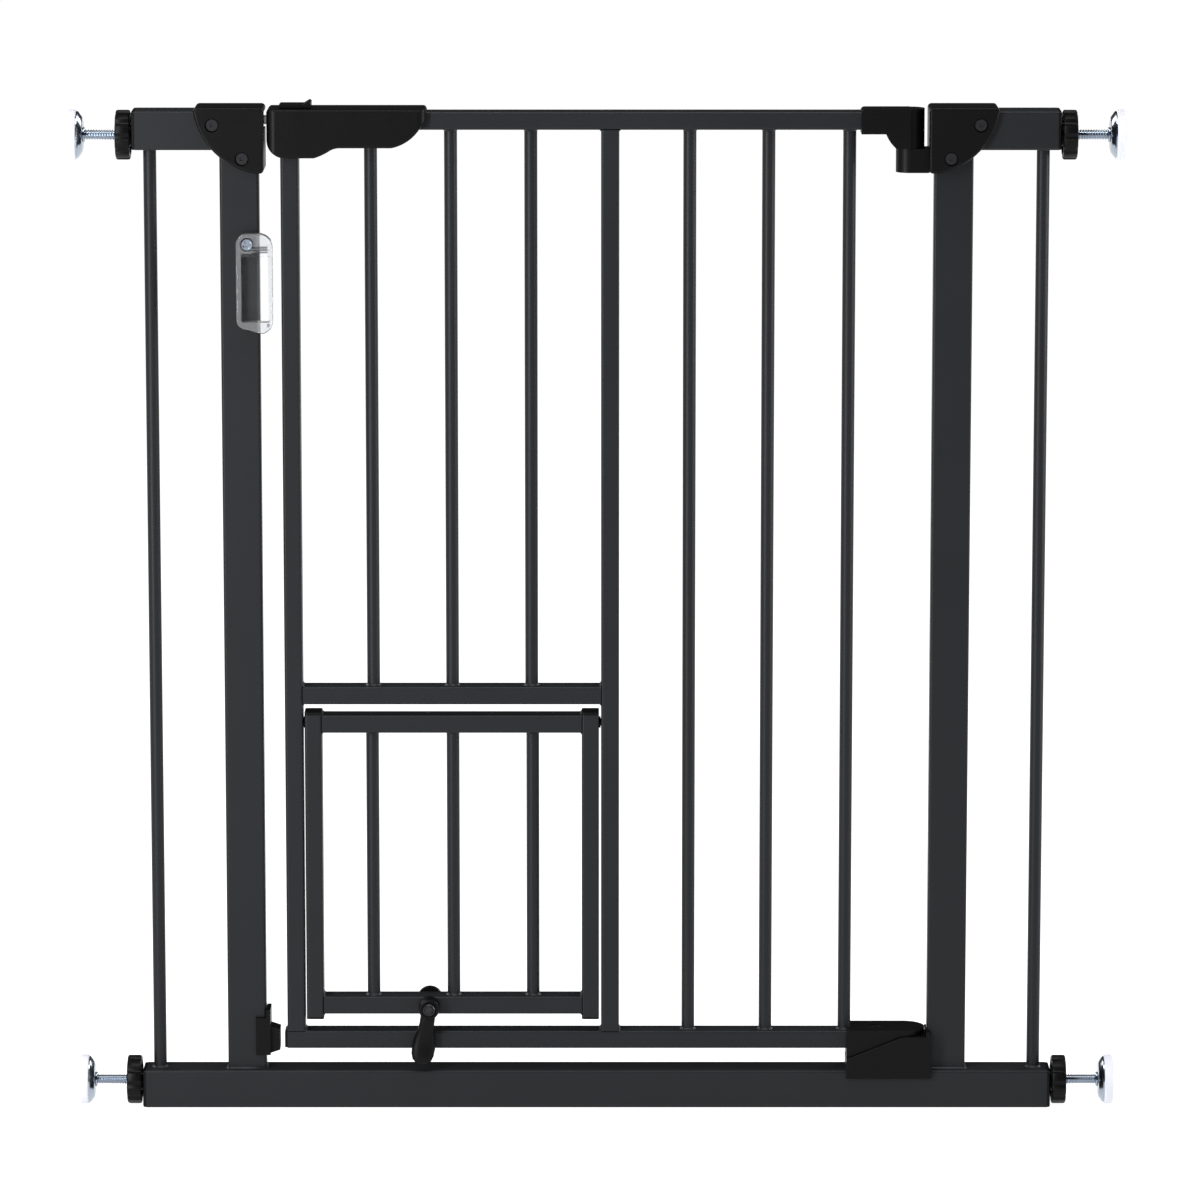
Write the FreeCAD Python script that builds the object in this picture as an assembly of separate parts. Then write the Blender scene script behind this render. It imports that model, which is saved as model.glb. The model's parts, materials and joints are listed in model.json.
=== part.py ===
"""Pressure-mounted pet gate: a welded steel U-frame, a walk-through door that rises on a ramp as
it opens, a top-hung pet flap in that door, and four screw spindles that clamp it between walls.

Frame: X across the doorway, Y through it (the door opens towards +Y), Z up, the origin on the
floor under the middle. Left and right are as seen from -Y. All sizes are in millimetres.
"""
import FreeCAD, Part
import math
import os
from FreeCAD import Vector

os.makedirs("parts", exist_ok=True)

# --- driving dimensions -------------------------------------------------------------------------
PAD_FACE = 404.0              # half the width over the four wall pads
RAIL = 30.0                   # square tube of the base rail and of the two upper rails
WALL = 1.5                    # steel wall of the square and rectangular tubes
CORNER = 2.0                  # outside corner radius of the tubes
RAIL_END = 352.0              # half the length of the base rail
CAP_FACE = 354.5              # outer face of the tube end caps
UPPER_TOP = 781.0             # top of the upper rails
UPPER_START = 262.0           # inner end of an upper rail
POST_IN, POST_OUT = 258.0, 288.0
POST_DEPTH = 15.0
OUTER_BAR_X = 341.5
BAR_R, BAR_WALL = 5.0, 1.0    # round bars

AXIS_IN = 10.5                # spindle axis from the rail's inner face
ROD_R = 4.0
ROD_INNER_END = 318.0
WHEEL_R, WHEEL_IN, WHEEL_OUT = 19.2, 356.0, 367.0
LOBES = 10
PAD_R, PAD_BACK = 19.3, 397.0
SAUCER_R, SAUCER_THICK, SAUCER_BACK = 18.0, 1.4, 390.5

SHELL_Y = 20.0                # half the depth of the corner brackets and of the latch housing
BRACKET_IN, BRACKET_OUT = 253.6, 307.0
BRACKET_TOP, BRACKET_BOTTOM = 784.0, 733.5
BRACKET_SCREWS = ((292.7, 770.5), (270.2, 744.8))
SCREW_R, SCREW_HOLE_R = 2.0, 2.1        # self-tapping screws of the frame's mouldings
TUBE_HOLE_R = 2.2             # holes drilled in tubes for those screws

TUBE, TUBE_DEPTH = 14.0, 20.0  # door tube: seen width and depth
DOOR_LEFT, DOOR_MIDDLE = -234.4, 10.5   # stile centres
DOOR_TOP, MID_TOP, DOOR_BOTTOM = 780.0, 334.0, 46.5
TOP_RAIL_START, TOP_RAIL_END = -186.0, 216.0
BOTTOM_RAIL_END = 204.0
STILE_TOP = 764.0
UPPER_BARS = (-172.7, -111.5, -50.2)
RIGHT_BARS = (71.4, 131.7, 193.5)

HINGE_X = 239.6               # axis of the door
KNUCKLE_R, ELBOW_Y = 11.0, 13.0
LUG_BOTTOM, LUG_TOP = 733.2, 751.6
ELBOW_LEFT, ELBOW_BOTTOM, ELBOW_TOP = 202.0, 763.0, 782.0
PIN_R, RUNNING = 4.0, 0.1     # hinge pins and the radial play round them
LOWER_PIN_START, LOWER_PIN_TOP = 35.0, 61.0
UPPER_PIN_START, UPPER_PIN_TOP = 736.0, 775.0
GAP = 0.35                    # play between faces that slide past each other

RAMP_LEFT, RAMP_KNEE, PLATEAU, RAMP_SLOPE = 195.0, 238.4, 57.5, 0.404
HINGE_BASE_Y, HINGE_BASE_BOTTOM, HINGE_BASE_RIGHT = 19.0, 24.0, 261.3
REAR_STEP = 2.5               # the rear half of the ramp is lower, clear of the turning cam
CAM_Y, CAM_TOP = 16.5, 62.5
CAM_SCREW_X, CAM_SCREW_SEAT = 218.6, 59.5

FLAP_LEFT, FLAP_RIGHT, FLAP_TUBE = -226.2, 1.9, 13.4
FLAP_TOP, FLAP_BOTTOM = 311.5, 74.0
FLAP_STILE_BOTTOM = 71.5
FLAP_AXIS_Z = 304.5
FLAP_BARS = (-173.9, -111.4, -49.5)
FLAP_PIN_R = 3.0

LEVER_X, LEVER_TILT = -130.5, 8.0
LEVER_FACE, LEVER_BACK = 25.0, 10.3     # how far the lever's two faces stand from the mid-plane
KNOB_FACE = 18.0
BOLT_R, BOLT_HEAD, BOLT_END = 2.5, 2.0, 21.0

HOUSING_LEFT, HOUSING_RIGHT, HOUSING_TOP = -251.5, -129.7, 782.5
END_ROUND = 7.0               # the housing's ends, rounded as seen from above
HOUSING_SCREWS = ((DOOR_LEFT, 755.0), (-205.0, 757.5), (-148.0, 773.0))
SLIDE_LOW, SLIDE_HIGH = 765.5, 780.5    # room inside the housing for the slider
TONGUE_TIP, TONGUE_Y = -260.5, 5.0
TONGUE_LOW, TONGUE_HIGH = 770.0, 776.0
STRIKE_Y = 8.3                # how far the latch pocket reaches forwards of the mid-plane

STOP_LEFT, STOP_RIGHT, STOP_LOW, STOP_HIGH = -275.5, -247.5, 610.0, 687.0
STOP_SCREW, STOP_PIN, STOP_PIN_R = (-267.0, 678.8), (-251.2, 616.4), 1.2
STOP_FRONT = -16.5

TUBE_Y = TUBE_DEPTH / 2
UPPER_BOTTOM = UPPER_TOP - RAIL
SPINDLES = {"bottom": RAIL - AXIS_IN, "top": UPPER_BOTTOM + AXIS_IN}
SIDES = {"left": -1, "right": 1}


# --- shared shapes ------------------------------------------------------------------------------
def box(x0, x1, y0, y1, z0, z1):
    return Part.makeBox(x1 - x0, y1 - y0, z1 - z0, Vector(x0, y0, z0))


def rod(axis, start, end, r, *across):
    """A round rod along an axis letter, from start to end; across gives its other two places."""
    i = "XYZ".index(axis)
    place = list(across)
    place.insert(i, min(start, end))
    return Part.makeCylinder(r, abs(end - start), Vector(*place), Vector(*[j == i for j in range(3)]))


def rounded(solid, axis, r):
    """A box with its four edges along one axis rounded."""
    along = Vector(*[a == axis for a in "XYZ"])
    edges = [e for e in solid.Edges if e.tangentAt(e.FirstParameter).cross(along).Length < 1e-6]
    return solid.makeFillet(r, edges)


def tube(axis, x0, x1, y0, y1, z0, z1, wall=WALL):
    """A rectangular tube along an axis, open at both ends, with rounded corners."""
    outer = rounded(box(x0, x1, y0, y1, z0, z1), axis, CORNER)
    t = [0 if a == axis else wall for a in "XYZ"]
    bore = box(x0 + t[0], x1 - t[0], y0 + t[1], y1 - t[1], z0 + t[2], z1 - t[2])
    return outer.cut(rounded(bore, axis, CORNER - wall))


def round_bar(x, z0, z1):
    return rod("Z", z0, z1, BAR_R, x, 0).cut(rod("Z", z0, z1, BAR_R - BAR_WALL, x, 0))


def plate(y0, y1, start, *steps):
    """A slab between two depths. Its XZ outline is lines to (x, z), or arcs ((via), (end))."""
    def at(p):
        return Vector(p[0], y0, p[1])

    edges, here = [], start
    for step in steps + (start,):
        if isinstance(step[0], tuple):
            edges.append(Part.Arc(at(here), at(step[0]), at(step[1])).toShape())
            here = step[1]
        elif step != here:
            edges.append(Part.LineSegment(at(here), at(step)).toShape())
            here = step
    return Part.Face(Part.Wire(edges)).extrude(Vector(0, y1 - y0, 0))


def soften(solid, y, r):
    """Rounds the outline edges that lie on one flat face, square to Y."""
    edges = [e for e in solid.Edges if all(abs(v.Y - y) < 1e-6 for v in e.Vertexes)]
    return solid.makeFillet(r, edges)


def mirrored(solid):
    return solid.mirror(Vector(0, 0, 0), Vector(1, 0, 0))


def join(first, *others):
    for other in others:
        first = first.fuse(other)
    return first.removeSplitter()


def save(name, *solids):
    shape = solids[0] if len(solids) == 1 else Part.makeCompound(solids)
    if not shape.isValid() or len(shape.Solids) != len(solids):
        print("check", name, shape.isValid(), len(shape.Solids), "solids for", len(solids))
    shape.exportStep("parts/" + name + ".step")


# --- welded frame -------------------------------------------------------------------------------
def frame_tubes():
    half = RAIL / 2
    save("base_rail", tube("X", -RAIL_END, RAIL_END, -half, half, 0, RAIL))
    (rail_screw_x, rail_screw_z), (post_screw_x, post_screw_z) = BRACKET_SCREWS
    for side, s in SIDES.items():
        post = tube("Z", POST_IN, POST_OUT, -POST_DEPTH / 2, POST_DEPTH / 2, RAIL, UPPER_BOTTOM)
        post = post.cut(rod("Y", -half, half, TUBE_HOLE_R, post_screw_x, post_screw_z))
        rail = tube("X", UPPER_START, RAIL_END, -half, half, UPPER_BOTTOM, UPPER_TOP)
        rail = rail.cut(rod("Y", -half, half, TUBE_HOLE_R, rail_screw_x, rail_screw_z))
        if s < 0:
            post, rail = mirrored(post), mirrored(rail)
            post = post.cut(rod("Y", -half, 0, TUBE_HOLE_R, *STOP_SCREW))
        save(side + "_post", post)
        save(side + "_upper_rail", rail)
        save(side + "_outer_bar", round_bar(s * OUTER_BAR_X, RAIL, UPPER_BOTTOM))


def end_caps():
    """A push-in plastic cap in each tube end, bored for the spindle."""
    play, depth, bore_r = 0.2, 22.0, ROD_R + 0.3
    half = RAIL / 2
    inner = half - WALL - play
    caps = []
    for row, z in SPINDLES.items():
        middle = half if row == "bottom" else UPPER_TOP - half
        lid = box(RAIL_END, CAP_FACE, -half, half, middle - half, middle + half)
        lid = rounded(lid, "X", 3.0)
        rim = [e for e in lid.Edges if all(abs(v.X - CAP_FACE) < 1e-6 for v in e.Vertexes)]
        lid = lid.makeFillet(1.2, rim)
        plug = box(RAIL_END - depth, RAIL_END, -inner, inner, middle - inner, middle + inner)
        cap = join(lid, plug).cut(rod("X", RAIL_END - depth, CAP_FACE, bore_r, 0, z))
        caps += [cap, mirrored(cap)]
    save("tube_end_caps", *caps)


# --- corner brackets ----------------------------------------------------------------------------
def brackets():
    """Two moulded shells clamp each top corner, where the post meets the upper rail."""
    edge, round_over = 3.0, 0.9
    outline = ((BRACKET_IN + edge, BRACKET_TOP), (BRACKET_OUT - edge, BRACKET_TOP),
               ((BRACKET_OUT - round_over, BRACKET_TOP - round_over), (BRACKET_OUT, BRACKET_TOP - edge)),
               ((292.0, 750.5), (260.0, BRACKET_BOTTOM)), (BRACKET_IN + edge, BRACKET_BOTTOM),
               ((BRACKET_IN + round_over, BRACKET_BOTTOM + round_over),
                (BRACKET_IN, BRACKET_BOTTOM + edge)), (BRACKET_IN, BRACKET_TOP - edge),
               ((BRACKET_IN + round_over, BRACKET_TOP - round_over), (BRACKET_IN + edge, BRACKET_TOP)))
    half = RAIL / 2
    cores = join(box(UPPER_START, RAIL_END, -half, half, UPPER_BOTTOM, UPPER_TOP),
                 box(POST_IN, POST_OUT, -POST_DEPTH / 2, POST_DEPTH / 2, 700, UPPER_BOTTOM))
    head_floor, head_tall, head_r, recess_r, screw_end = SHELL_Y - 3.8, 1.8, 4.5, 5.4, 17.0
    screws = []
    for side, s in SIDES.items():
        front = soften(plate(-SHELL_Y, 0, *outline), -SHELL_Y, 2.0).cut(cores)
        rear = soften(plate(0, SHELL_Y, *outline), SHELL_Y, 2.0).cut(cores)
        for x, z in BRACKET_SCREWS:
            front = front.cut(rod("Y", -SHELL_Y, -head_floor, recess_r, x, z))
            front = front.cut(rod("Y", -SHELL_Y, 0, SCREW_HOLE_R, x, z))
            rear = rear.cut(rod("Y", 0, screw_end + 0.2, SCREW_HOLE_R, x, z))
            screw = join(rod("Y", -head_floor - head_tall, -head_floor, head_r, x, z),
                         rod("Y", -head_floor, screw_end, SCREW_R, x, z))
            socket = rod("Y", -head_floor - head_tall, -head_floor - 0.6, 1.6, x, z)
            screws.append(screw.cut(socket) if s > 0 else mirrored(screw.cut(socket)))
        if s > 0:
            front = join(front, hinge_lug())
        else:
            front, rear = mirrored(front), mirrored(rear)
            low, high = SLIDE_LOW + 0.5, SLIDE_HIGH - 0.5
            front = front.cut(box(-UPPER_START, -BRACKET_IN + 1, -STRIKE_Y, 1, low, high))
            rear = rear.cut(box(-UPPER_START, -BRACKET_IN + 1, -1, SHELL_Y + 1, low, high))
        save(side + "_bracket_front", front)
        save(side + "_bracket_rear", rear)
    save("frame_screws", *screws)


def hinge_lug():
    """The eye of the upper hinge, moulded on the right bracket's front shell."""
    eye = rod("Z", LUG_BOTTOM, LUG_TOP, KNUCKLE_R - 0.2, HINGE_X, 0)
    arm = box(HINGE_X, BRACKET_IN, -KNUCKLE_R + 0.2, KNUCKLE_R - 0.2, LUG_BOTTOM, LUG_TOP)
    root = box(BRACKET_IN, BRACKET_IN + 2, -KNUCKLE_R + 0.2, 0, BRACKET_BOTTOM, LUG_TOP)
    return join(eye, arm, root).cut(rod("Z", LUG_BOTTOM, LUG_TOP, PIN_R + RUNNING, HINGE_X, 0))


def latch_strike():
    """A steel keeper in the left bracket: it holds the tongue from the front."""
    low, high, sheet, reach = SLIDE_LOW + 1, SLIDE_HIGH - 1, 1.0, 6.0
    keeper = join(box(-UPPER_START, -UPPER_START + sheet, -STRIKE_Y, reach, low, high),
                  box(-UPPER_START, -BRACKET_IN - sheet, -STRIKE_Y, -STRIKE_Y + 1.8, low, high))
    save("latch_strike", keeper)


def bottom_catch():
    """A clip round the left post's inner edge, with a wedge that faces the door's free corner."""
    outer, inner, tip, depth = -266.0, -254.6, -247.2, 11.5
    low, high, side_top, wedge_y = 41.5, 71.0, 77.5, 8.0
    front = box(outer, -POST_IN, -depth, -POST_DEPTH / 2, low, high)
    back = box(outer, -POST_IN, POST_DEPTH / 2, depth, low, high)
    side = box(-POST_IN, inner, -depth, depth, low, side_top)
    wedge = plate(-wedge_y, wedge_y, (inner, low + 1), (tip, low + 3.5), (tip, 61.5), (inner, 64.0))
    save("bottom_catch", join(front, back, side, wedge))


def door_stop():
    """A clear moulded stop on the left post's front face, held by a cross-head screw."""
    back, front, floor = -POST_DEPTH / 2, STOP_FRONT, 2.0
    left, right, low, high = STOP_LEFT, STOP_RIGHT, STOP_LOW, STOP_HIGH
    outline = ((left, high - 8), ((left + 2.3, high - 2.3), (left + 8, high)), (right - 11, high),
               ((right - 3.2, high - 3.2), (right, high - 11)), (right, low + 10),
               ((right - 2.4, low + 3.4), (right - 8, low)), (left + 7, low + 3.5),
               ((left + 1.8, low + 6), (left, low + 11)))
    body = soften(plate(front, back, *outline), front, 1.0)
    pocket = rounded(box(left + 4, right - 1.8, front, back - floor, low + 9, high - 17.5), "Y", 2.0)
    ledge = rounded(box(left + 15, right - 1.8, front, front + 3, high - 20, high - 12), "Y", 1.5)
    head_r, seat, pin_end = 5.0, front + 3, front + 6
    body = body.cut(pocket).cut(ledge).cut(rod("Y", front, seat, head_r + 0.4, *STOP_SCREW))
    body = body.cut(rod("Y", front, back, SCREW_HOLE_R, *STOP_SCREW))
    save("door_stop", body.cut(rod("Y", front, pin_end, STOP_PIN_R, *STOP_PIN)))
    x, z = STOP_SCREW
    screw = join(rod("Y", front + 0.4, seat, head_r, x, z), rod("Y", seat, -2.0, SCREW_R, x, z))
    arm, slit = 3.0, 0.6
    for half_x, half_z in ((arm, slit), (slit, arm)):
        screw = screw.cut(box(x - half_x, x + half_x, front, front + 1.6, z - half_z, z + half_z))
    save("stop_screws", screw, rod("Y", front + 0.2, pin_end, STOP_PIN_R, *STOP_PIN))


# --- lower hinge --------------------------------------------------------------------------------
def ramp_z(x):
    return PLATEAU - RAMP_SLOPE * max(0.0, RAMP_KNEE - x)


def lower_hinge_base():
    """A moulded saddle on the base rail. The ramp on its front half carries the door's cam."""
    def saddle(y0, y1, drop, lip):
        return plate(y0, y1, (RAMP_LEFT, HINGE_BASE_BOTTOM), (RAMP_LEFT, ramp_z(RAMP_LEFT) - drop),
                     (RAMP_KNEE, PLATEAU - drop), (257.0, PLATEAU - drop), (257.0, lip),
                     (259.0, lip), (HINGE_BASE_RIGHT, lip - 3), (HINGE_BASE_RIGHT, HINGE_BASE_BOTTOM))

    base = join(soften(saddle(-HINGE_BASE_Y, 0, 0, 61.5), -HINGE_BASE_Y, 0.8),
                saddle(0, HINGE_BASE_Y, REAR_STEP, 59.0))
    base = base.cut(box(-RAIL_END, RAIL_END, -RAIL / 2, RAIL / 2, 0, RAIL))
    base = base.cut(box(POST_IN, POST_OUT, -POST_DEPTH / 2, POST_DEPTH / 2, RAIL, CAM_TOP))
    bore = rod("Z", LOWER_PIN_START - 2, PLATEAU + 1, PIN_R + RUNNING, HINGE_X, 0)
    save("lower_hinge_base", base.cut(bore))


def lower_hinge_cam():
    """The door's moulded foot: it holds the bottom rail's end and rides on the ramp."""
    cam = plate(-CAM_Y, CAM_Y, (RAMP_LEFT, ramp_z(RAMP_LEFT) + GAP), (RAMP_KNEE, PLATEAU + GAP),
                (HINGE_X, PLATEAU + GAP), (HINGE_X, CAM_TOP), (RAMP_LEFT + 2, CAM_TOP),
                (RAMP_LEFT, CAM_TOP - 2))
    cam = join(cam, rod("Z", PLATEAU + GAP, CAM_TOP, CAM_Y, HINGE_X, 0))
    rail_top = DOOR_BOTTOM + TUBE
    cam = cam.cut(box(RAMP_LEFT - 1, BOTTOM_RAIL_END, -TUBE_Y, TUBE_Y, DOOR_BOTTOM, rail_top))
    cam = cam.cut(rod("Z", rail_top, CAM_TOP, BAR_R, RIGHT_BARS[-1], 0))
    cam = cam.cut(rod("Z", DOOR_BOTTOM, LOWER_PIN_TOP + GAP, PIN_R + RUNNING, HINGE_X, 0))
    head_r, shank_end = 4.6, 53.5
    cam = cam.cut(rod("Z", CAM_SCREW_SEAT, CAM_TOP, head_r + 0.3, CAM_SCREW_X, 0))
    hole = rod("Z", shank_end - 0.5, CAM_SCREW_SEAT, SCREW_R, CAM_SCREW_X, 0)
    save("lower_hinge_cam", cam.cut(hole))
    head = rod("Z", CAM_SCREW_SEAT, CAM_TOP - 0.4, head_r, CAM_SCREW_X, 0)
    shank = rod("Z", shank_end, CAM_SCREW_SEAT, SCREW_R - 0.1, CAM_SCREW_X, 0)
    socket = rod("Z", CAM_TOP - 1.8, CAM_TOP, 1.6, CAM_SCREW_X, 0)
    save("cam_screw", join(head, shank).cut(socket))


def hinge_pins():
    save("upper_hinge_pin", rod("Z", UPPER_PIN_START, UPPER_PIN_TOP, PIN_R, HINGE_X, 0))
    save("lower_hinge_pin", rod("Z", LOWER_PIN_START, LOWER_PIN_TOP, PIN_R, HINGE_X, 0))


# --- door leaf ----------------------------------------------------------------------------------
def door_leaf():
    half = TUBE / 2
    bottom_top = DOOR_BOTTOM + TUBE
    under_top = DOOR_TOP - TUBE
    left = tube("Z", DOOR_LEFT - half, DOOR_LEFT + half, -TUBE_Y, TUBE_Y, bottom_top, STILE_TOP)
    left = left.cut(rod("Y", -TUBE_Y, TUBE_Y, 2.0, *HOUSING_SCREWS[0]))
    pivot_r = FLAP_PIN_R + RUNNING
    left = left.cut(rod("X", DOOR_LEFT, DOOR_LEFT + half, pivot_r, 0, FLAP_AXIS_Z))
    save("door_left_stile", left)
    middle = tube("Z", DOOR_MIDDLE - half, DOOR_MIDDLE + half, -TUBE_Y, TUBE_Y, bottom_top, under_top)
    middle = middle.cut(rod("X", DOOR_MIDDLE - half, DOOR_MIDDLE, pivot_r, 0, FLAP_AXIS_Z))
    save("door_middle_stile", middle)
    top = tube("X", TOP_RAIL_START, TOP_RAIL_END, -TUBE_Y, TUBE_Y, under_top, DOOR_TOP)
    save("door_top_rail", top.cut(rod("Y", -TUBE_Y, TUBE_Y, 2.0, *HOUSING_SCREWS[2])))
    save("door_mid_rail", tube("X", DOOR_LEFT + half, DOOR_MIDDLE - half, -TUBE_Y, TUBE_Y,
                               MID_TOP - TUBE, MID_TOP))
    save("door_bottom_rail", tube("X", DOOR_LEFT - half, BOTTOM_RAIL_END, -TUBE_Y, TUBE_Y,
                                  DOOR_BOTTOM, bottom_top))
    save("door_upper_bars", *[round_bar(x, MID_TOP, under_top) for x in UPPER_BARS])
    save("door_right_bars", *[round_bar(x, bottom_top, under_top) for x in RIGHT_BARS])
    end, inset = DOOR_LEFT - half, WALL + 0.1
    lid = box(end - 2, end, -TUBE_Y + 0.5, TUBE_Y - 0.5, DOOR_BOTTOM + 0.5, bottom_top - 0.5)
    stem = box(end, end + 12, -TUBE_Y + inset, TUBE_Y - inset, DOOR_BOTTOM + inset, bottom_top - inset)
    save("door_rail_plug", join(rounded(lid, "X", 1.5), rounded(stem, "X", 0.6)))


def hinge_elbow():
    """The door's top hinge moulding: a socket for the top rail and the knuckle over the lug."""
    foot = LUG_TOP + GAP
    arm = plate(-ELBOW_Y, ELBOW_Y, (ELBOW_LEFT, ELBOW_BOTTOM), (220.8, ELBOW_BOTTOM),
                ((223.6, 757.6), (HINGE_X - KNUCKLE_R, foot)), (HINGE_X, foot), (HINGE_X, ELBOW_TOP),
                (ELBOW_LEFT + 3, ELBOW_TOP), ((ELBOW_LEFT + 0.9, ELBOW_TOP - 0.9),
                                              (ELBOW_LEFT, ELBOW_TOP - 3)))
    elbow = join(arm, rod("Z", foot, ELBOW_TOP, KNUCKLE_R, HINGE_X, 0))
    elbow = elbow.cut(box(ELBOW_LEFT - 1, TOP_RAIL_END, -TUBE_Y, TUBE_Y, DOOR_TOP - TUBE, DOOR_TOP))
    bore = rod("Z", foot - 1, UPPER_PIN_TOP + 1, PIN_R + RUNNING, HINGE_X, 0)
    save("hinge_elbow", elbow.cut(bore))


# --- latch --------------------------------------------------------------------------------------
def latch_housing():
    """Two moulded shells round the door's free top corner, screwed together from behind."""
    outline = ((HOUSING_LEFT, 779.5), (HOUSING_LEFT, 759.5), ((-247.5, 749.5), (-239.0, 745.2)),
               (-215.4, 745.2), ((-209.0, 747.6), (-202.5, 751.3)), ((-198.5, 752.6), (-194.5, 752.9)),
               (-156.3, 752.9), ((-140.3, 760.9), (HOUSING_RIGHT, HOUSING_TOP - 3)),
               ((HOUSING_RIGHT - 0.9, HOUSING_TOP - 0.9), (HOUSING_RIGHT - 3, HOUSING_TOP)),
               (HOUSING_LEFT + 3, HOUSING_TOP),
               ((HOUSING_LEFT + 0.9, HOUSING_TOP - 0.9), (HOUSING_LEFT, 779.5)))
    half, play = TUBE / 2, 0.3
    room_left, room_right, room_y = -248.5, -190.0, 7.0
    slot_left, slot_right, slot_y = -236.5, -219.0, 4.0
    rooms = [box(DOOR_LEFT - half, DOOR_LEFT + half, -TUBE_Y, TUBE_Y, MID_TOP, STILE_TOP),
             box(TOP_RAIL_START, 0, -TUBE_Y, TUBE_Y, DOOR_TOP - TUBE, DOOR_TOP),
             rod("Z", MID_TOP, DOOR_TOP - TUBE, BAR_R, UPPER_BARS[0], 0),
             box(room_left, room_right, -room_y, room_y, SLIDE_LOW, SLIDE_HIGH),
             box(HOUSING_LEFT - 1, room_left + 1, -TONGUE_Y - play, TONGUE_Y + play,
                 TONGUE_LOW - play, TONGUE_HIGH + play),
             box(slot_left, slot_right, -slot_y, slot_y, SLIDE_HIGH - 1, HOUSING_TOP + 1)]
    plan = box(HOUSING_LEFT, HOUSING_RIGHT, -SHELL_Y, SHELL_Y, MID_TOP, HOUSING_TOP)
    plan = rounded(plan, "Z", END_ROUND)
    front = soften(plate(-SHELL_Y, 0, *outline), -SHELL_Y, 2.0).common(plan)
    rear = soften(plate(0, SHELL_Y, *outline), SHELL_Y, 2.0).common(plan)
    for room in rooms:
        front, rear = front.cut(room), rear.cut(room)
    screws, tip, seat, face, head_r, shank_r = [], -12.0, 15.0, 17.5, 3.5, 1.7
    for x, z in HOUSING_SCREWS:
        front = front.cut(rod("Y", tip - 0.2, 0, shank_r + 0.1, x, z))
        rear = rear.cut(rod("Y", 0, seat, shank_r + 0.1, x, z))
        rear = rear.cut(rod("Y", seat, SHELL_Y, head_r + 0.5, x, z))
        screw = join(rod("Y", tip, seat, shank_r, x, z), rod("Y", seat, face, head_r, x, z))
        screws.append(screw.cut(rod("Y", face - 1.3, face, 1.2, x, z)))
    save("latch_housing_front", front)
    save("latch_housing_rear", rear)
    save("housing_screws", *screws)


def latch():
    """The thumb slider, the steel tongue that it carries, and the spring behind it."""
    block_left, block_right, neck_left, neck_right = -244.0, -216.0, -236.0, -228.0
    block_low, block_high, pad_low = SLIDE_LOW + 1.5, SLIDE_HIGH - 1.5, HOUSING_TOP + 0.5
    block = box(block_left, block_right, -6, 6, block_low, block_high)
    neck = box(neck_left, neck_right, -3.6, 3.6, block_high, pad_low)
    button = plate(-10, 10, (-242.3, pad_low), (-217.7, pad_low), (-217.7, 787.0), (-219.2, 788.0),
                   (-223.5, 785.4), (-241.3, 785.4), (-242.3, 784.6))
    tongue = plate(-TONGUE_Y, TONGUE_Y, (neck_left, TONGUE_LOW), (TONGUE_TIP + 1, TONGUE_LOW),
                   (TONGUE_TIP, TONGUE_LOW + 1), (TONGUE_TIP, TONGUE_HIGH - 1),
                   (TONGUE_TIP + 1, TONGUE_HIGH), (neck_left, TONGUE_HIGH))
    save("latch_slider", join(block, neck, button).cut(tongue))
    save("latch_tongue", tongue)
    start, end, coil_r, wire_r, turns = block_right + 0.4, -190.4, 3.6, 0.5, 8
    z = (TONGUE_LOW + TONGUE_HIGH) / 2
    helix = Part.makeHelix((end - start - 2 * wire_r) / turns, end - start - 2 * wire_r, coil_r)
    ring = Part.Wire(Part.makeCircle(wire_r, Vector(coil_r, 0, 0), Vector(0, 1, 0)))
    spring = Part.Wire(helix.Edges).makePipeShell([ring], True, True)
    spring.rotate(Vector(0, 0, 0), Vector(0, 1, 0), 90)
    spring.translate(Vector(start + wire_r, 0, z))
    save("latch_spring", spring)


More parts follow.
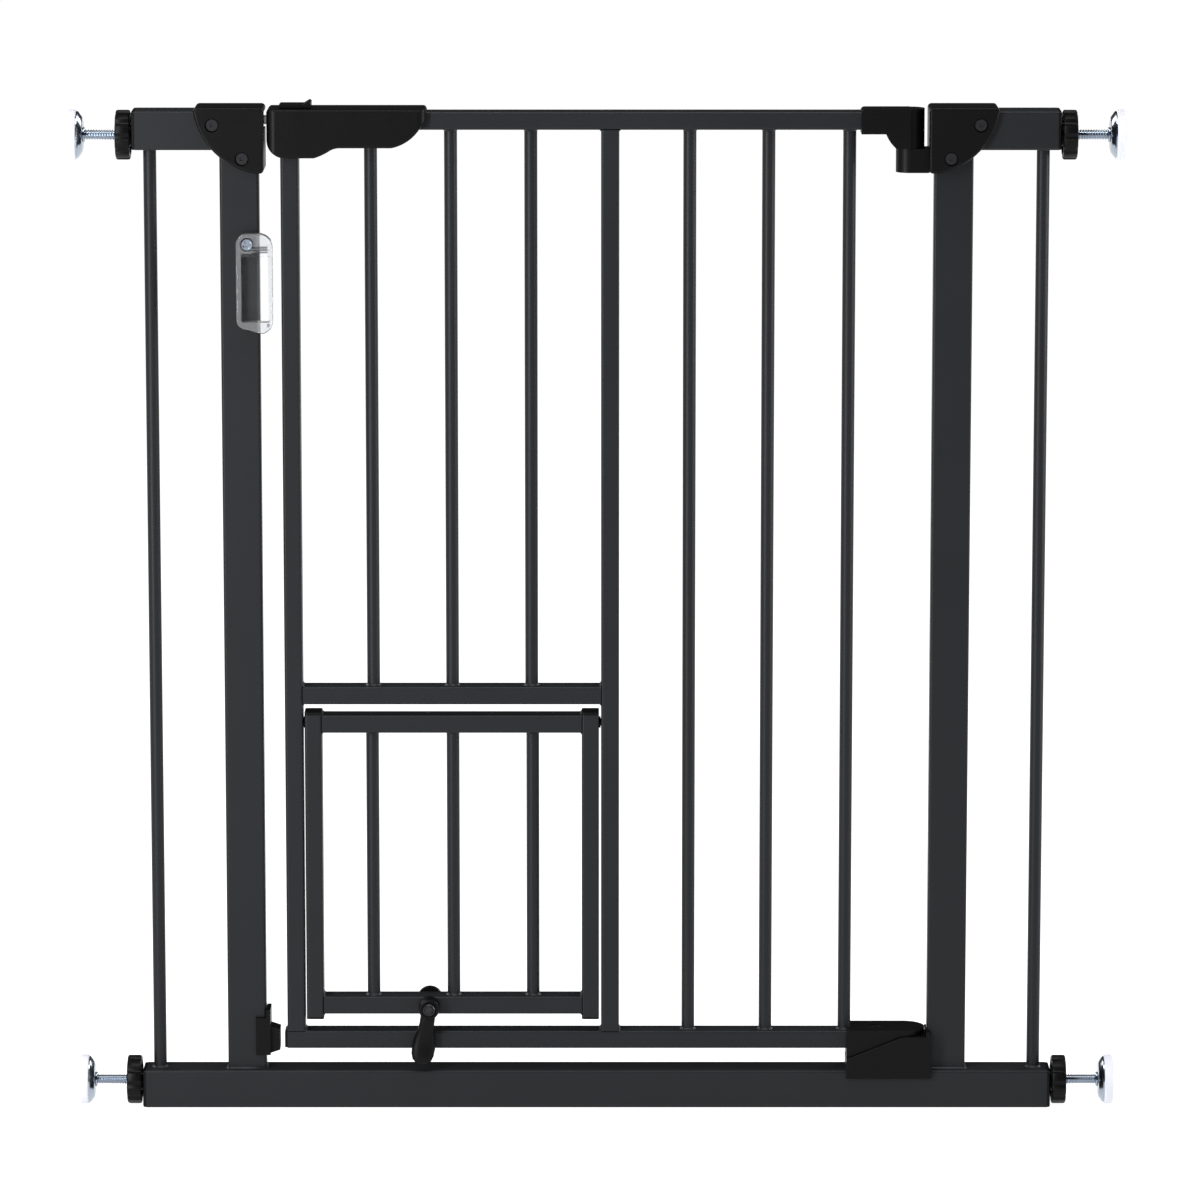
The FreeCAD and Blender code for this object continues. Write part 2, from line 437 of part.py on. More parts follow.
# --- pet flap -----------------------------------------------------------------------------------
def flap():
    """A small welded leaf that hangs on two pins at the height of its top rail."""
    inner_left, inner_right = FLAP_LEFT + FLAP_TUBE, FLAP_RIGHT - FLAP_TUBE
    for name, x0, x1 in (("flap_left_stile", FLAP_LEFT, inner_left),
                         ("flap_right_stile", inner_right, FLAP_RIGHT)):
        stile = tube("Z", x0, x1, -TUBE_Y, TUBE_Y, FLAP_STILE_BOTTOM, FLAP_TOP)
        outer = x0 if x0 == FLAP_LEFT else x1 - 2 * WALL
        hole = rod("X", outer, outer + 2 * WALL, FLAP_PIN_R, 0, FLAP_AXIS_Z)
        save(name, stile.cut(hole))
    save("flap_top_rail", tube("X", inner_left, inner_right, -TUBE_Y, TUBE_Y, FLAP_TOP - TUBE, FLAP_TOP))
    low = tube("X", inner_left, inner_right, -TUBE_Y, TUBE_Y, FLAP_BOTTOM, FLAP_BOTTOM + TUBE)
    lever_z = FLAP_BOTTOM + TUBE / 2
    save("flap_bottom_rail", low.cut(rod("Y", -TUBE_Y, TUBE_Y, BOLT_R + RUNNING, LEVER_X, lever_z)))
    save("flap_bars", *[round_bar(x, FLAP_BOTTOM + TUBE, FLAP_TOP - TUBE) for x in FLAP_BARS])
    caps, inset = [], WALL + 0.1
    for x0, x1 in ((FLAP_LEFT, inner_left), (inner_right, FLAP_RIGHT)):
        for lid0, lid1, stem0, stem1 in ((FLAP_TOP, FLAP_TOP + 2.2, FLAP_TOP - 2.5, FLAP_TOP),
                                         (FLAP_STILE_BOTTOM - 1.5, FLAP_STILE_BOTTOM,
                                          FLAP_STILE_BOTTOM, FLAP_STILE_BOTTOM + 10)):
            lid = rounded(box(x0, x1, -TUBE_Y, TUBE_Y, lid0, lid1), "Z", CORNER)
            stem = box(x0 + inset, x1 - inset, -TUBE_Y + inset, TUBE_Y - inset, stem0, stem1)
            caps.append(join(lid, rounded(stem, "Z", 0.6)))
    save("flap_caps", *caps)
    left_wall, right_wall = DOOR_LEFT + TUBE / 2, DOOR_MIDDLE - TUBE / 2
    into_door, into_flap, collar_r = 4.0, 5.0, 4.5
    left = join(rod("X", left_wall - into_door, FLAP_LEFT + into_flap, FLAP_PIN_R, 0, FLAP_AXIS_Z),
                rod("X", left_wall + GAP, FLAP_LEFT, collar_r, 0, FLAP_AXIS_Z))
    right = join(rod("X", FLAP_RIGHT - into_flap, right_wall + into_door, FLAP_PIN_R, 0, FLAP_AXIS_Z),
                 rod("X", FLAP_RIGHT, right_wall - GAP, collar_r, 0, FLAP_AXIS_Z))
    save("flap_pins", left, right)


def flap_lock():
    """A lever on the flap's bottom rail: hanging, it stands before the door's bottom rail."""
    z = FLAP_BOTTOM + TUBE / 2
    arm = plate(-LEVER_FACE + 2.5, -LEVER_BACK - 1.5, (LEVER_X - 6.4, z), (LEVER_X - 6.2, z - 13),
                ((LEVER_X - 6.9, z - 19), (LEVER_X - 8.8, z - 26)),
                ((LEVER_X - 9.2, z - 32), (LEVER_X - 7.4, z - 42)),
                ((LEVER_X, z - 45.6), (LEVER_X + 7.4, z - 42)),
                ((LEVER_X + 9.2, z - 32), (LEVER_X + 8.8, z - 26)),
                ((LEVER_X + 6.9, z - 19), (LEVER_X + 6.2, z - 13)), (LEVER_X + 6.4, z))
    head_r, knob_r, fit, collar_r, nut_r, socket_r = 8.0, 10.0, 0.05, 4.7, 4.2, 2.4
    head = rod("Y", -LEVER_FACE, -LEVER_BACK, head_r, LEVER_X, z)
    bore = rod("Y", -LEVER_FACE, -LEVER_BACK, BOLT_R + fit, LEVER_X, z)
    lever = join(arm, head).cut(bore)
    lever.rotate(Vector(LEVER_X, 0, z), Vector(0, 1, 0), LEVER_TILT)
    save("lock_lever", lever)
    knob = soften(rod("Y", LEVER_BACK, KNOB_FACE, knob_r, LEVER_X, z), KNOB_FACE, 2.5)
    save("lock_rear_knob", knob.cut(rod("Y", LEVER_BACK, KNOB_FACE, BOLT_R + fit, LEVER_X, z)))
    head_end = -LEVER_FACE - BOLT_HEAD
    bolt = join(rod("Y", -LEVER_FACE, KNOB_FACE, BOLT_R, LEVER_X, z),
                rod("Y", head_end, -LEVER_FACE, collar_r, LEVER_X, z),
                rod("Y", KNOB_FACE, BOLT_END, nut_r, LEVER_X, z))
    save("lock_bolt", bolt.cut(rod("Y", head_end, head_end + 1.5, socket_r, LEVER_X, z)))


# --- spindles -----------------------------------------------------------------------------------
def hand_wheel(z):
    rim_r, hub_r, recess, scallop_r, scallop_out = 14.5, 9.0, 3.0, 3.4, 1.9
    wheel = soften_rims(rod("X", WHEEL_IN, WHEEL_OUT, WHEEL_R, 0, z), 1.5)
    for i in range(LOBES):
        turn = 2 * math.pi * (i + 0.5) / LOBES
        far = WHEEL_R + scallop_out
        y, up = far * math.cos(turn), far * math.sin(turn)
        wheel = wheel.cut(rod("X", WHEEL_IN, WHEEL_OUT, scallop_r, y, z + up))
    ring = rod("X", WHEEL_IN, WHEEL_IN + recess, rim_r, 0, z)
    wheel = wheel.cut(ring.cut(rod("X", WHEEL_IN, WHEEL_IN + recess, hub_r, 0, z)))
    hub = rod("X", CAP_FACE + GAP, WHEEL_IN, hub_r - 1, 0, z)
    bore = rod("X", RAIL_END, WHEEL_OUT, ROD_R + RUNNING, 0, z)
    return join(wheel, hub).cut(bore)


def soften_rims(disc, r):
    """Rounds the two end rims of a disc."""
    return disc.makeFillet(r, [e for e in disc.Edges if len(e.Vertexes) == 1])


def spindle(z):
    """A threaded rod with a stop washer and the dished saucer that carries the pad."""
    end = PAD_BACK - 1.0
    shaft = rod("X", ROD_INNER_END, end, ROD_R, 0, z)
    shaft = shaft.makeChamfer(0.8, [e for e in shaft.Edges if len(e.Vertexes) == 1
                                    and abs(e.Vertexes[0].X - ROD_INNER_END) < 1e-6])
    washer = rod("X", SAUCER_BACK - 2.0, SAUCER_BACK, 7.5, 0, z)
    inside = SAUCER_BACK + SAUCER_THICK
    dish = [(SAUCER_BACK, 0), (SAUCER_BACK, 7.0), (PAD_BACK - SAUCER_THICK, SAUCER_R),
            (PAD_BACK, SAUCER_R), (PAD_BACK, SAUCER_R - 3), (inside, 6.4), (inside, 0)]
    ring = [Vector(x, 0, z + r) for x, r in dish]
    face = Part.Face(Part.makePolygon(ring + ring[:1]))
    saucer = face.revolve(Vector(0, 0, z), Vector(1, 0, 0), 360)
    return join(shaft, washer, saucer)


def wall_pad(z):
    pad = rod("X", PAD_BACK, PAD_FACE, PAD_R, 0, z)
    return soften_rims(pad, 1.8)


def spindles():
    for row, z in SPINDLES.items():
        for side, s in SIDES.items():
            for name, solid in (("wheel", hand_wheel(z)), ("rod", spindle(z)), ("pad", wall_pad(z))):
                save(name + "_" + row + "_" + side, solid if s > 0 else mirrored(solid))


for build in (frame_tubes, end_caps, brackets, latch_strike, bottom_catch, door_stop,
              lower_hinge_base, lower_hinge_cam, hinge_pins, door_leaf, hinge_elbow,
              latch_housing, latch, flap, flap_lock, spindles):
    build()
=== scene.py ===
"""Looks for a pressure-mounted pet gate: powder-coated steel, black mouldings, zinc spindles.

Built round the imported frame, in metres: X across the doorway, +Y the way the door opens, Z up.
"""
import json
import math
import bmesh
import bpy
from mathutils import Matrix, Vector


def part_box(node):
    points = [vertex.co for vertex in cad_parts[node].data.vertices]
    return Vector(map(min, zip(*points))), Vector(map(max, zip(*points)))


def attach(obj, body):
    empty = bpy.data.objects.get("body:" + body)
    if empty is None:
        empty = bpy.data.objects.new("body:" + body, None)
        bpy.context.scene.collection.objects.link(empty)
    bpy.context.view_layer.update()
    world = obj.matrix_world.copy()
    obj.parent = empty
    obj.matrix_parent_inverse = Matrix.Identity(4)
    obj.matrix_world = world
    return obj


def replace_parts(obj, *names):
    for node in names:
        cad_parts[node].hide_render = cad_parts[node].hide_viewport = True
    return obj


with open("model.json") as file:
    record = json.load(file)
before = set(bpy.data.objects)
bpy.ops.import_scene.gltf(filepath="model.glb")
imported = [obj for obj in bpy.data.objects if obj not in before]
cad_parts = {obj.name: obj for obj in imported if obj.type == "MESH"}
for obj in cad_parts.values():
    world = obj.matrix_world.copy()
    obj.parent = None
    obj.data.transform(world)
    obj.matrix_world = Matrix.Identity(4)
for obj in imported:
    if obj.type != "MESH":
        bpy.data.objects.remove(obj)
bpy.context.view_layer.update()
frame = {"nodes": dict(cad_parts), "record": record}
nodes = frame["nodes"]
MM = 0.001


# --- Welded tubes ---------------------------------------------------------------------------------
# The base rail, posts, door leaf and flap are thin steel tube, welded and then powder coated in a
# satin charcoal. The coat has a fine orange-peel surface, and drifts a little in shade.
class Value:
    """A socket in a material. Arithmetic on it adds Math nodes to the same material."""

    def __init__(self, finish, socket):
        self.finish, self.socket = finish, socket

    def math(self, operation, a, b):
        return self.finish.node("Math", {"operation": operation}, {0: a, 1: b})

    def __add__(self, other):
        return self.math("ADD", self, other)

    def __radd__(self, other):
        return self.math("ADD", other, self)

    def __sub__(self, other):
        return self.math("SUBTRACT", self, other)

    def __rsub__(self, other):
        return self.math("SUBTRACT", other, self)

    def __mul__(self, other):
        return self.math("MULTIPLY", self, other)

    def __rmul__(self, other):
        return self.math("MULTIPLY", other, self)


class Finish:
    """A material round one Principled shader, and the object's own coordinates."""

    def __init__(self, name, **constants):
        self.material = bpy.data.materials.new(name)
        self.material.use_nodes = True
        self.tree = self.material.node_tree
        self.shader = self.tree.nodes["Principled BSDF"]
        for key, value in constants.items():
            self.shader.inputs[key.replace("_", " ")].default_value = value
        self.place = self.node("TexCoord", {}, {}, "Object")

    def node(self, kind, settings, values, output=0):
        made = self.tree.nodes.new("ShaderNode" + kind)
        for key, value in settings.items():
            setattr(made, key, value)
        for key, value in values.items():
            self.join(value, made.inputs[key])
        return Value(self, made.outputs[output])

    def join(self, value, socket):
        if isinstance(value, Value):
            self.tree.links.new(value.socket, socket)
        else:
            socket.default_value = value

    def drive(self, **values):
        for key, value in values.items():
            self.join(value, self.shader.inputs[key.replace("_", " ")])

    def noise(self, size, detail=2.0, stretch=(1, 1, 1)):
        """Soft noise whose lumps are about so many metres across."""
        spot = self.node("Mapping", {}, {"Vector": self.place, "Scale": stretch})
        return self.node("TexNoise", {}, {"Vector": spot, "Scale": 1 / size, "Detail": detail})

    def blend(self, factor, first, second):
        return self.node("Mix", {"data_type": "RGBA"}, {0: factor, 6: (*first, 1), 7: (*second, 1)}, 2)

    def relief(self, height, depth, strength=1.0):
        bump = self.node("Bump", {}, {"Height": height, "Distance": depth, "Strength": strength},
                         "Normal")
        self.join(bump, self.shader.inputs["Normal"])


def powder_coat():
    coat = Finish("powder_coat", IOR=1.5, Specular_IOR_Level=0.17)
    peel = coat.noise(1.1 * MM, 3.0)
    drift = coat.noise(90 * MM)
    speck = coat.noise(0.35 * MM, 1.0)
    grey = coat.blend(drift, (0.0074, 0.0080, 0.0096), (0.0100, 0.0107, 0.0126))
    coat.drive(Base_Color=grey, Roughness=0.34 + 0.10 * peel + 0.06 * drift)
    coat.relief(peel * 0.7 + speck * 0.3, 0.05 * MM, 0.5)
    return coat.material


def paint(material, *names):
    for name in names:
        for place in nodes[name].material_slots:
            place.material = material


COAT = powder_coat()
FRAME_TUBES = ("base_rail", "left_post", "right_post", "left_upper_rail", "right_upper_rail",
               "left_outer_bar", "right_outer_bar")
DOOR_TUBES = ("door_left_stile", "door_middle_stile", "door_top_rail", "door_mid_rail",
              "door_bottom_rail", "door_upper_bars", "door_right_bars")
FLAP_TUBES = ("flap_left_stile", "flap_right_stile", "flap_top_rail", "flap_bottom_rail", "flap_bars")
paint(COAT, *FRAME_TUBES, *DOOR_TUBES, *FLAP_TUBES)


# --- Weld beads -----------------------------------------------------------------------------------
# Each round bar is welded to its rails with a small bead all round, and each rectangular tube with
# a low one along its sides. The beads are run by hand, so slightly uneven, and the coat covers them.
def new_piece(name, mesh, material, body, smooth=35):
    """Finishes a bmesh as a piece that rides on a body. Edges bent less than smooth are shaded over."""
    bmesh.ops.remove_doubles(mesh, verts=mesh.verts, dist=0.001 * MM)
    bmesh.ops.recalc_face_normals(mesh, faces=mesh.faces)
    for edge in mesh.edges:
        edge.smooth = edge.calc_face_angle(0) < math.radians(smooth)
    for face in mesh.faces:
        face.smooth = True
    data = bpy.data.meshes.new(name)
    mesh.to_mesh(data)
    mesh.free()
    data.materials.append(material)
    piece = bpy.data.objects.new(name, data)
    bpy.context.scene.collection.objects.link(piece)
    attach(piece, body)
    return piece


def fresh(mesh):
    """The vertices made since the last call."""
    made = [v for v in mesh.verts if not v.tag]
    for vert in made:
        vert.tag = True
    return made


def lathe(mesh, outline, closed, steps=64):
    """Turns an outline of (place along, radius) pairs about the Z axis."""
    ring = [mesh.verts.new((r, 0, along)) for along, r in outline]
    ends = ring[1:] + ring[:1] if closed else ring[1:]
    edges = [mesh.edges.new(pair) for pair in zip(ring, ends)]
    bmesh.ops.spin(mesh, geom=ring + edges, cent=(0, 0, 0), axis=(0, 0, 1), angle=math.tau,
                   steps=steps, use_merge=True)


def bar_centres(node):
    """The X of each upright round bar in a node."""
    places = sorted({round(v.co.x, 5) for v in nodes[node].data.vertices})
    groups, start = [], places[0]
    for here, following in zip(places, places[1:] + [places[-1] + 1]):
        if following - here > 20 * MM:
            groups.append((start + here) / 2)
            start = following
    return groups


def bar_welds(mesh, *bars):
    leg, ripple, overlap = 1.5 * MM, 0.02, 0.1 * MM
    for node in bars:
        low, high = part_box(node)
        radius = (high.y - low.y) / 2
        for x in bar_centres(node):
            for z, up in ((low.z, 1), (high.z, -1)):
                lathe(mesh, ((0, radius - overlap), (0, radius + leg), (0.42 * leg, radius + 0.42 * leg),
                             (leg, radius - overlap)), True, 40)
                for vert in fresh(mesh):
                    turn = math.atan2(vert.co.y, vert.co.x)
                    swell = 1 + ripple * math.sin(13 * turn + 400 * x)
                    vert.co = Vector((vert.co.x * swell + x, vert.co.y * swell, vert.co.z * up + z))


def tube_weld(mesh, node, toward, flush):
    """Weld metal round one end of a rectangular tube; toward points from that end along the tube."""
    leg, sunk, corner = 1.3 * MM, 0.1 * MM, 2.0 * MM
    low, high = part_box(node)
    toward = Vector(toward)
    made = bmesh.ops.create_cube(mesh, size=1.0)["verts"]
    slanted = [e for e in mesh.edges if e.verts[0] in made and abs(
        (e.verts[0].co - e.verts[1].co).dot(toward)) > 0.5]
    for vert in made:
        far = vert.co.dot(toward) > 0
        for i in range(3):
            size = high[i] - low[i]
            if toward[i]:
                end = low[i] if toward[i] > 0 else high[i]
                vert.co[i] = end + toward[i] * (leg if far else 0)
            else:
                spare = -sunk if far or (flush and i == 1) else leg
                vert.co[i] = (low[i] + high[i]) / 2 + vert.co[i] * (size + 2 * spare)
    bmesh.ops.bevel(mesh, geom=slanted, offset=corner, segments=4, profile=0.5, material=-1,
                    affect="EDGES")
    fresh(mesh)


for welds, body, bars, ends, flush_ends in (
        ("frame_welds", "frame", ("left_outer_bar", "right_outer_bar"),
         (("left_post", (0, 0, 1)), ("right_post", (0, 0, 1))), False),
        ("door_welds", "door", ("door_upper_bars", "door_right_bars"),
         (("door_left_stile", (0, 0, 1)), ("door_middle_stile", (0, 0, 1)),
          ("door_middle_stile", (0, 0, -1)), ("door_mid_rail", (1, 0, 0)),
          ("door_mid_rail", (-1, 0, 0))), True),
        ("flap_welds", "flap", ("flap_bars",),
         (("flap_top_rail", (1, 0, 0)), ("flap_top_rail", (-1, 0, 0)),
          ("flap_bottom_rail", (1, 0, 0)), ("flap_bottom_rail", (-1, 0, 0))), True)):
    seams = bmesh.new()
    bar_welds(seams, *bars)
    for tube, along in ends:
        tube_weld(seams, tube, along, flush_ends)
    new_piece(welds, seams, COAT, body)


# --- Black mouldings ------------------------------------------------------------------------------
# The brackets, latch housing, hinge parts, caps, wheels and levers are glass-filled nylon, moulded
# in black with a fine spark-eroded grain.
def black_moulding():
    nylon = Finish("black_nylon", IOR=1.5, Specular_IOR_Level=0.10)
    grain = nylon.noise(0.6 * MM, 3.0)
    cloud = nylon.noise(30 * MM, 3.0)
    shade = nylon.blend(cloud, (0.0012, 0.0012, 0.0015), (0.0022, 0.0022, 0.0026))
    nylon.drive(Base_Color=shade, Roughness=0.30 + 0.10 * grain + 0.08 * cloud)
    nylon.relief(grain, 0.06 * MM, 0.5)
    return nylon.material


BLACK = black_moulding()
paint(BLACK, "tube_end_caps", "left_bracket_front", "left_bracket_rear", "right_bracket_front",
      "right_bracket_rear", "latch_housing_front", "latch_housing_rear", "hinge_elbow",
      "lower_hinge_base", "lower_hinge_cam", "bottom_catch", "door_rail_plug", "flap_caps",
      "flap_pins", "latch_slider", "lock_rear_knob")


# --- Screws, bolts and pins -----------------------------------------------------------------------
# Small hardware: black-oxide screws in the mouldings, plain steel pins, tongue and keeper.
def metal(name, shade, rough, metallic=1.0):
    steel = Finish(name, Metallic=metallic)
    drawn = steel.noise(0.4 * MM, 2.0, (1, 1, 0.15))
    stain = steel.noise(12 * MM, 3.0)
    steel.drive(Base_Color=steel.blend(stain, shade, [0.72 * c for c in shade]),
                Roughness=rough + 0.12 * drawn)
    steel.relief(drawn, 0.02 * MM, 0.4)
    return steel.material


OXIDE = metal("black_oxide_steel", (0.030, 0.030, 0.034), 0.24, 0.8)
STEEL = metal("plain_steel", (0.45, 0.46, 0.48), 0.24)
ZINC = metal("zinc_plate", (0.38, 0.43, 0.50), 0.12)
paint(OXIDE, "frame_screws", "cam_screw")
paint(STEEL, "latch_tongue", "latch_strike", "latch_spring", "upper_hinge_pin", "lower_hinge_pin",
      "housing_screws")


# --- Spindles -------------------------------------------------------------------------------------
# Each of the four is a zinc-plated rod with a rolled thread. A stop washer and a pressed dished
# saucer are staked on its outer end, and the saucer carries the wall pad.
CORNERS = [(row, side) for row in ("bottom", "top") for side in ("left", "right")]


def thread(mesh, start, end, crest):
    """A screw thread along Z: one tooth of its section spun with a shift, then cut square."""
    pitch, tooth, per_turn = 2.0 * MM, 0.85 * MM, 28
    root, turns = crest - tooth, math.ceil((end - start) / pitch) + 1
    section = ((0, root), (0.12, root), (0.44, crest), (0.56, crest), (0.88, root), (1, root))
    chain = [mesh.verts.new((r, 0, start + pitch * (share - 1))) for share, r in section]
    edges = [mesh.edges.new(pair) for pair in zip(chain, chain[1:])]
    bmesh.ops.spin(mesh, geom=chain + edges, cent=(0, 0, 0), axis=(0, 0, 1), steps=turns * per_turn,
                   angle=math.tau * turns, dvec=(0, 0, pitch / per_turn))
    bmesh.ops.remove_doubles(mesh, verts=mesh.verts, dist=0.01 * MM)
    for place, way in ((start, -1), (end, 1)):
        everything = mesh.verts[:] + mesh.edges[:] + mesh.faces[:]
        cut = bmesh.ops.bisect_plane(mesh, geom=everything, plane_co=(0, 0, place),
                                     plane_no=(0, 0, way), clear_outer=True)["geom_cut"]
        rim = [e for e in cut if isinstance(e, bmesh.types.BMEdge)]
        bmesh.ops.holes_fill(mesh, edges=rim, sides=len(rim))


def at_corner(mesh, row, side):
    """Turns a part built along Z to lie along X at one corner of the gate, outwards."""
    low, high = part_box(f"pad_{row}_{side}")
    bmesh.ops.rotate(mesh, verts=mesh.verts, cent=(0, 0, 0),
                     matrix=Matrix.Rotation(math.radians(90), 3, "Y"))
    if side == "left":
        bmesh.ops.rotate(mesh, verts=mesh.verts, cent=(0, 0, 0),
                         matrix=Matrix.Rotation(math.radians(180), 3, "Z"))
    bmesh.ops.translate(mesh, verts=mesh.verts, vec=(0, 0, (low.z + high.z) / 2))


def reach(node):
    """How far from the middle of the gate a node starts and ends."""
    low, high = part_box(node)
    return sorted((abs(low.x), abs(high.x)))


for row, side in CORNERS:
    name = f"rod_{row}_{side}"
    inner, outer = reach(name)
    pad_back = reach(f"pad_{row}_{side}")[0]
    sheet, dish, rim, flat = 1.4 * MM, 4.6 * MM, 18.0 * MM, 12.0 * MM
    back = pad_back - dish
    spindle = bmesh.new()
    thread(spindle, inner, back, 4.0 * MM)
    lathe(spindle, ((back - 1.6 * MM, 0), (back - 1.6 * MM, 5.3 * MM), (back - 1.2 * MM, 5.7 * MM),
                    (back - 0.4 * MM, 5.7 * MM), (back, 5.3 * MM), (back, 0)), False)
    lathe(spindle, ((back, 0), (back, flat), (back + 0.5 * MM, flat + 1.7 * MM),
                    (back + 1.6 * MM, flat + 3.2 * MM), (pad_back - 1.7 * MM, rim - 0.9 * MM),
                    (pad_back - 0.9 * MM, rim), (pad_back, rim), (pad_back, rim - sheet),
                    (pad_back - 1.2 * MM, rim - 2.1 * MM), (pad_back - 2.2 * MM, flat + 2.2 * MM),
                    (back + sheet + 0.4 * MM, flat + 0.9 * MM), (back + sheet, flat - 0.4 * MM),
                    (back + sheet, 0)), False, 96)
    lathe(spindle, ((back + sheet, 0), (back + sheet, 5.2 * MM), (outer - 1.2 * MM, 4.4 * MM),
                    (outer, 2.6 * MM), (outer, 0)), False)
    at_corner(spindle, row, side)
    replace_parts(new_piece(f"spindle_{row}_{side}", spindle, ZINC, f"spindle_{row}_{side}"), name)


# --- Hand wheels ----------------------------------------------------------------------------------
# Moulded nuts that run on the rods. Ten finger scallops round the rim, a recess on the inner face
# and a hub that turns against the tube's end cap.
for row, side in CORNERS:
    name = f"wheel_{row}_{side}"
    inner, outer = reach(name)
    low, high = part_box(name)
    rim, bore, hub, web = (high.z - low.z) / 2, 4.1 * MM, 8.0 * MM, 14.5 * MM
    face, edge, lobes, steps = outer - 11.0 * MM, 1.4 * MM, 10, 200
    wheel = bmesh.new()
    lathe(wheel, (
        (inner, bore + 0.5 * MM), (inner, hub - 0.5 * MM), (inner + 0.5 * MM, hub), (face, hub),
        (face, hub + 1.0 * MM), (face + 3.0 * MM, hub + 1.3 * MM), (face + 3.0 * MM, web - 0.3 * MM),
        (face + 0.4 * MM, web), (face, web + 0.4 * MM), (face, rim - edge),
        (face + 0.3 * edge, rim - 0.3 * edge), (face + edge, rim), (outer - edge, rim),
        (outer - 0.3 * edge, rim - 0.3 * edge), (outer, rim - edge), (outer, web),
        (outer - 0.8 * MM, web - 1.0 * MM), (outer - 0.8 * MM, hub + 1.0 * MM), (outer, hub),
        (outer, bore + 0.8 * MM), (outer - 0.8 * MM, bore), (inner + 0.5 * MM, bore)), True, steps)
    scallop, beyond = 3.4 * MM, 1.9 * MM
    for vert in fresh(wheel):
        across = Vector((vert.co.x, vert.co.y))
        lobe = math.tau / lobes
        off = (math.atan2(across.y, across.x) % lobe) - lobe / 2
        middle = rim + beyond
        if abs(middle * math.sin(off)) < scallop:
            least = middle * math.cos(off) - math.sqrt(scallop ** 2 - (middle * math.sin(off)) ** 2)
            room = (across.length - web) / (rim - web)
            if room > 0:
                kept = web + (least - web) * room
                vert.co.x, vert.co.y = across * (min(kept, across.length) / across.length)
    at_corner(wheel, row, side)
    piece = new_piece(f"hand_wheel_{row}_{side}", wheel, BLACK, f"hand_wheel_{row}_{side}",
                      28)
    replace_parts(piece, name)


# --- Wall pads ------------------------------------------------------------------------------------
# White rubber discs that grip the wall. They are moulded matt, with a rolled rim and three rings of
# tread on the wall side, and pick up a faint dust.
def white_rubber():
    rubber = Finish("white_rubber", Specular_IOR_Level=0.35)
    dust = rubber.noise(8 * MM, 4.0)
    skin = rubber.noise(0.5 * MM)
    rubber.drive(Base_Color=rubber.blend(dust, (0.62, 0.63, 0.69), (0.57, 0.58, 0.64)),
                 Roughness=0.52 + 0.12 * skin)
    rubber.relief(skin, 0.04 * MM, 0.5)
    return rubber.material


RUBBER = white_rubber()
for row, side in CORNERS:
    name = f"pad_{row}_{side}"
    back, face = reach(name)
    low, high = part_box(name)
    rim, roll, groove = (high.z - low.z) / 2, 1.8 * MM, 0.8 * MM
    outline = [(back, 0), (back, rim - roll)]
    outline += [(back + roll * (1 - math.cos(a)), rim - roll + roll * math.sin(a))
                for a in (math.radians(15 * i) for i in range(1, 7))]
    outline += [(face - roll * (1 - math.sin(a)), rim - roll + roll * math.cos(a))
                for a in (math.radians(15 * i) for i in range(0, 7))]
    for ring in (15.5 * MM, 11.5 * MM, 7.5 * MM):
        outline += [(face, ring + 0.9 * MM), (face - groove, ring + 0.5 * MM),
                    (face - groove, ring - 0.5 * MM), (face, ring - 0.9 * MM)]
    outline += [(face, 0)]
    pad = bmesh.new()
    lathe(pad, outline, False, 96)
    at_corner(pad, row, side)
    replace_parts(new_piece(f"wall_pad_{row}_{side}", pad, RUBBER, f"spindle_{row}_{side}"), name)


# --- Flap lock lever ------------------------------------------------------------------------------
# A moulded lever with a round head on the bolt, a narrow waist and a broad thumb paddle. It hangs
# nearly straight down and stands in front of the door's bottom rail.
def lock_lever():
    turn = next(j for j in frame["record"]["behaviour"]["joints"] if j["name"] == "lock_turn")
    pivot = Vector(turn["pos_m"])
    low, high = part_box("lock_lever")
    front, back, tilt = low.y, high.y, math.radians(8)
    mesh = bmesh.new()
    head, edge, bore = 8.0 * MM, 1.6 * MM, 2.55 * MM
    lathe(mesh, ((-back, bore), (-back, head - 0.6 * MM), (-back + 0.6 * MM, head),
                 (-front - edge, head), (-front - 0.45 * edge, head - 0.18 * edge),
                 (-front - 0.12 * edge, head - 0.5 * edge), (-front, head - edge),
                 (-front, 5.8 * MM), (-front - 0.7 * MM, 5.4 * MM), (-front - 0.7 * MM, bore)), True, 72)
    for vert in fresh(mesh):
        vert.co = Vector((vert.co.x, -vert.co.z, vert.co.y))
    loops = []
    for drop, half, near, far in (
            (2, 5.4, 21.6, 12.4), (6, 5.8, 22.2, 12.0), (13, 5.8, 21.8, 11.9), (19, 6.6, 21.0, 11.9),
            (25, 8.2, 20.6, 11.9), (32, 9.2, 21.2, 11.8), (38, 8.8, 22.2, 11.8), (42, 7.4, 22.4, 12.1),
            (44.4, 4.8, 21.6, 13.4), (45.4, 2.2, 19.8, 15.2)):
        ring = bmesh.ops.create_circle(mesh, segments=32, radius=1.0)["verts"]
        for vert in ring:
            x, y = (math.copysign(abs(c) ** 0.7, c) for c in vert.co[:2])
            vert.co = Vector((x * half, -(near + far) / 2 + y * (near - far) / 2, -drop)) * MM
        fresh(mesh)
        loops.append([e for e in mesh.edges if e.verts[0] in ring and e.verts[1] in ring])
    for upper, lower in zip(loops, loops[1:]):
        bmesh.ops.bridge_loops(mesh, edges=upper + lower)
    bmesh.ops.holes_fill(mesh, edges=loops[0] + loops[-1], sides=40)
    bmesh.ops.rotate(mesh, verts=mesh.verts, cent=(0, 0, 0), matrix=Matrix.Rotation(tilt, 3, "Y"))
    bmesh.ops.translate(mesh, verts=mesh.verts, vec=(pivot.x, 0, pivot.z))
    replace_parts(new_piece("flap_lock_lever", mesh, BLACK, "flap_lock", 50),
                "lock_lever")


